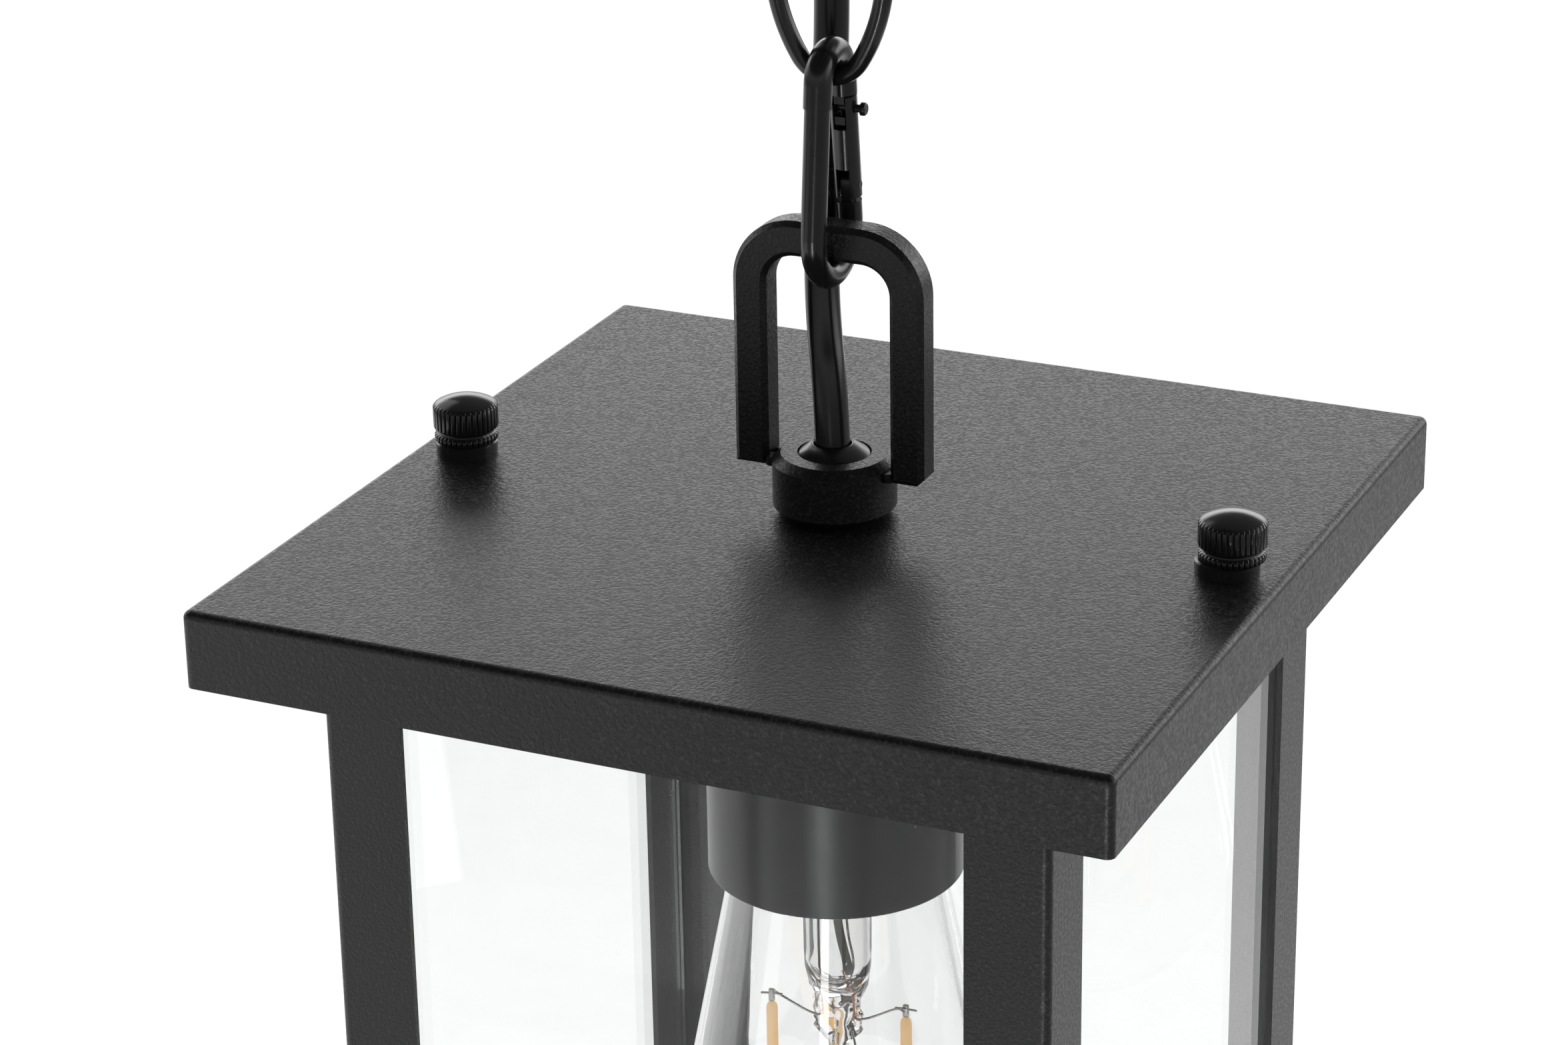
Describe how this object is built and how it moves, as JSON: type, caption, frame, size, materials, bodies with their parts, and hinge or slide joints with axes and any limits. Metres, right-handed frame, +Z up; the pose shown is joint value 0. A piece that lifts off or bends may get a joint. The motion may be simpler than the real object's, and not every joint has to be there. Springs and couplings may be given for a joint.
{
  "type": "hanging lantern",
  "caption": "Square glass lantern on a short chain: folded roof pan held by thumb nuts, sprung hooks, ceiling canopy and a clear filament bulb.",
  "frame": {"origin": "centre of the ceiling bracket's top face, where it meets the ceiling", "axes": "+Z up towards the ceiling, X through the two thumb nuts and the bracket's slots, -Y the lantern's front"},
  "size_m": [0.178, 0.178, 0.5619],
  "materials": {
    "powder_coat": "fine-textured matt black powder coat",
    "hook_black": "smooth satin black plating with faint scratches",
    "nut_black": "smooth black, knurled",
    "cover_black": "smooth satin dark grey",
    "zinc": "zinc plated",
    "green_screw": "green ground screw",
    "brass": "bright brass",
    "nickel": "nickel plated",
    "black_plastic": "moulded black plastic",
    "cable_black": "glossy extruded cable sheath",
    "lead_plastic": "insulated core",
    "connector_plastic": "moulded twist-on connector",
    "porcelain": "glazed porcelain",
    "bulb_glass": "clear blown glass",
    "bulb_black": "black vitrite insulator",
    "filament": "amber phosphor filament",
    "pane_glass": "clear polished sheet glass with green edges",
    "spring_steel": "spring wire"
  },
  "bodies": {
    "ceiling_fitting": {"ceiling_bracket": "zinc", "ground_screw": "green_screw", "ceiling_canopy": "powder_coat", "canopy_screws": "nut_black", "canopy_loop": "powder_coat", "canopy_nipple": "zinc", "canopy_lock_washer": "zinc", "canopy_lock_nut": "zinc", "canopy_cord_bushing": "black_plastic", "supply_leads": "lead_plastic", "wire_connectors": "connector_plastic"},
    "upper_hook": {"upper_hook_body": "hook_black"},
    "upper_gate": {"upper_hook_gate": "hook_black", "upper_gate_pins": "hook_black", "upper_gate_spring": "spring_steel"},
    "link_3": {"chain_link_3": "hook_black"},
    "link_2": {"chain_link_2": "hook_black"},
    "link_1": {"chain_link_1": "hook_black"},
    "lower_hook": {"lower_hook_body": "hook_black"},
    "lower_gate": {"lower_hook_gate": "hook_black", "lower_gate_pins": "hook_black", "lower_gate_spring": "spring_steel"},
    "roof": {"roof_cover": "powder_coat", "roof_loop": "powder_coat", "roof_nipple": "zinc", "roof_lock_washer": "zinc", "roof_lock_nut": "zinc", "roof_cord_bushing": "black_plastic", "power_cable": "cable_black", "socket_cover": "cover_black", "socket_cap": "cover_black", "socket_body": "porcelain", "screw_shell": "brass", "centre_contact": "brass", "terminal_screws": "nickel", "lamp_leads": "lead_plastic"},
    "left_washer": {"left_washer": "nut_black"},
    "right_washer": {"right_washer": "nut_black"},
    "left_nut": {"left_thumb_nut": "nut_black"},
    "right_nut": {"right_thumb_nut": "nut_black"},
    "bulb_cap": {"bulb_cap_shell": "nickel", "bulb_insulator": "bulb_black", "bulb_contact": "nickel"},
    "bulb_glass": {"bulb_envelope": "bulb_glass", "bulb_stem": "bulb_glass", "filament_supports": "nickel", "filaments": "filament"},
    "cage": {"cage_top_frame": "powder_coat", "threaded_studs": "nut_black", "cage_bottom_frame": "powder_coat", "front_left_post": "powder_coat", "front_right_post": "powder_coat", "back_left_post": "powder_coat", "back_right_post": "powder_coat", "front_pane": "pane_glass", "back_pane": "pane_glass", "left_pane": "pane_glass", "right_pane": "pane_glass", "glass_clips": "powder_coat"}
  },
  "joints": [
    {"name": "upper_hook_swing", "type": "hinge", "parent": "ceiling_fitting", "child": "upper_hook", "pos_m": [0, 0, -0.08005], "axis": [1, 0, 0], "range_deg": [-20, 20], "deforming": ["power_cable"]},
    {"name": "upper_gate_turn", "type": "hinge", "parent": "upper_hook", "child": "upper_gate", "pos_m": [0, -0.00758, -0.08696], "axis": [1, 0, 0], "range_deg": [0, 18], "stiffness_Nm_per_rad": 0.02, "springref_deg": -28.65},
    {"name": "link_3_swing", "type": "hinge", "parent": "upper_hook", "child": "link_3", "pos_m": [0, 0, -0.1142], "axis": [0, 1, 0], "range_deg": [-20, 20], "deforming": ["power_cable"]},
    {"name": "link_2_swing", "type": "hinge", "parent": "link_3", "child": "link_2", "pos_m": [0, 0, -0.15145], "axis": [1, 0, 0], "range_deg": [-20, 20], "deforming": ["power_cable"]},
    {"name": "link_1_swing", "type": "hinge", "parent": "link_2", "child": "link_1", "pos_m": [0, 0, -0.18965], "axis": [0, 1, 0], "range_deg": [-20, 20], "deforming": ["power_cable"]},
    {"name": "lower_hook_swing", "type": "hinge", "parent": "link_1", "child": "lower_hook", "pos_m": [0, 0, -0.22785], "axis": [1, 0, 0], "range_deg": [-20, 20], "deforming": ["power_cable"]},
    {"name": "lower_gate_turn", "type": "hinge", "parent": "lower_hook", "child": "lower_gate", "pos_m": [0, 0.00758, -0.25044], "axis": [1, 0, 0], "range_deg": [0, 18], "stiffness_Nm_per_rad": 0.02, "springref_deg": -28.65},
    {"name": "roof_swing", "type": "hinge", "parent": "lower_hook", "child": "roof", "pos_m": [0, 0, -0.2656], "axis": [0, 1, 0], "range_deg": [-20, 20], "deforming": ["power_cable"]},
    {"name": "left_nut_travel", "type": "slide", "parent": "roof", "child": "left_washer", "axis": [0, 0, 1], "range_m": [0, 0.0088]},
    {"name": "left_nut_turn", "type": "hinge", "parent": "left_washer", "child": "left_nut", "pos_m": [-0.0786, 0, -0.3124], "axis": [0, 0, 1], "range_deg": [0, 3960]},
    {"name": "right_nut_travel", "type": "slide", "parent": "roof", "child": "right_washer", "axis": [0, 0, 1], "range_m": [0, 0.0088]},
    {"name": "right_nut_turn", "type": "hinge", "parent": "right_washer", "child": "right_nut", "pos_m": [0.0786, 0, -0.3124], "axis": [0, 0, 1], "range_deg": [0, 3960]},
    {"name": "bulb_travel", "type": "slide", "parent": "roof", "child": "bulb_cap", "axis": [0, 0, -1], "range_m": [0, 0.01089]},
    {"name": "bulb_turn", "type": "hinge", "parent": "bulb_cap", "child": "bulb_glass", "pos_m": [0, 0, -0.3366], "axis": [0, 0, -1], "range_deg": [0, 1080]},
    {"name": "cage_drop", "type": "slide", "parent": "roof", "child": "cage", "axis": [0, 0, -1], "range_m": [0, 0.18]}
  ],
  "couplings": [
    {"joint": "left_nut_turn", "follows": "left_nut_travel", "rad_per_m": 7854},
    {"joint": "right_nut_turn", "follows": "right_nut_travel", "rad_per_m": 7854},
    {"joint": "bulb_turn", "follows": "bulb_travel", "rad_per_m": 1730.9}
  ]
}
